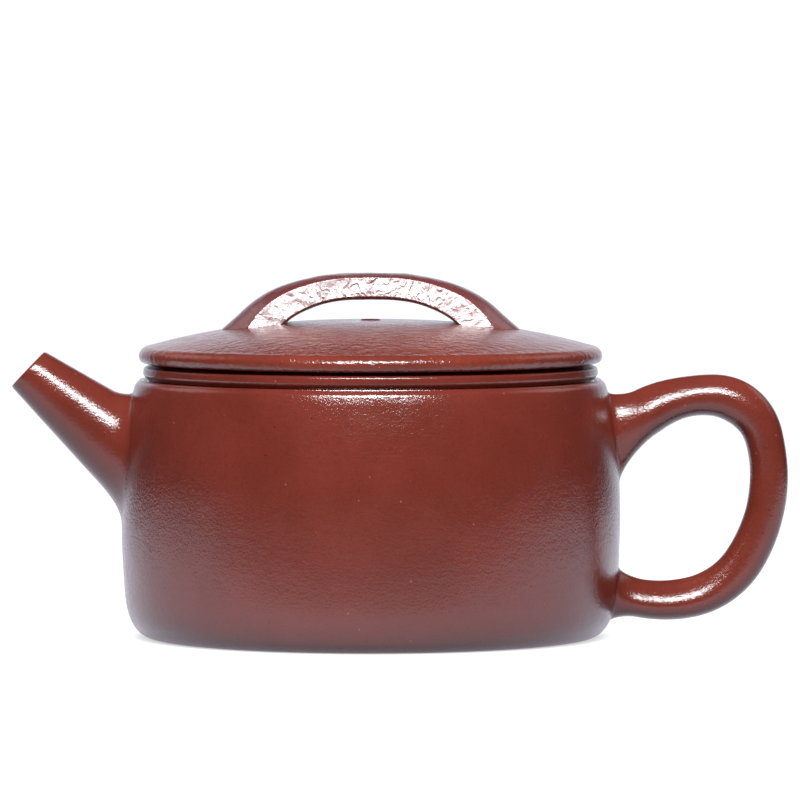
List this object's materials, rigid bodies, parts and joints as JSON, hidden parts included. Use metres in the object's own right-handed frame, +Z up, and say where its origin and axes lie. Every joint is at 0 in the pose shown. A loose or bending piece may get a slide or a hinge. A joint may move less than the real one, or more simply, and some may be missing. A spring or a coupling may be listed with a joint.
{
  "type": "clay teapot",
  "caption": "Low barrel-sided clay teapot with a short straight spout, an ear-shaped handle and a flat domed lid that lifts by a bridge knob.",
  "frame": {"origin": "on the pot's vertical axis, in the plane of its standing ring", "axes": "+X from the pot's axis towards the handle, with the spout along -X; +Z up, through the lid"},
  "size_m": [0.1452, 0.0934, 0.0683],
  "materials": {
    "body_clay": "burnished unglazed red stoneware",
    "ring_clay": "burnished unglazed red stoneware",
    "spout_clay": "burnished unglazed red stoneware",
    "handle_clay": "burnished unglazed red stoneware",
    "lid_clay": "burnished unglazed red stoneware",
    "knob_clay": "tooled unglazed red stoneware with a beaten texture",
    "flange_clay": "matte scraped red stoneware",
    "inside_clay": "matte unglazed red stoneware"
  },
  "bodies": {
    "pot": {"body_wall": "body_clay", "base_plate": "body_clay", "shoulder_plate": "body_clay", "mouth_ring": "ring_clay", "spout": "spout_clay", "ball_strainer": "inside_clay", "handle": "handle_clay"},
    "lid_seat": {"lid_flange": "flange_clay"},
    "lid": {"lid_underplate": "lid_clay", "lid_dome": "lid_clay", "bridge_knob": "knob_clay"}
  },
  "joints": [
    {"name": "lid_lift", "type": "slide", "parent": "pot", "child": "lid_seat", "axis": [0, 0, 1], "range_m": [0, 0.04]},
    {"name": "lid_turn", "type": "hinge", "parent": "lid_seat", "child": "lid", "pos_m": [0, 0, 0.0514], "axis": [0, 0, 1], "continuous": true}
  ]
}
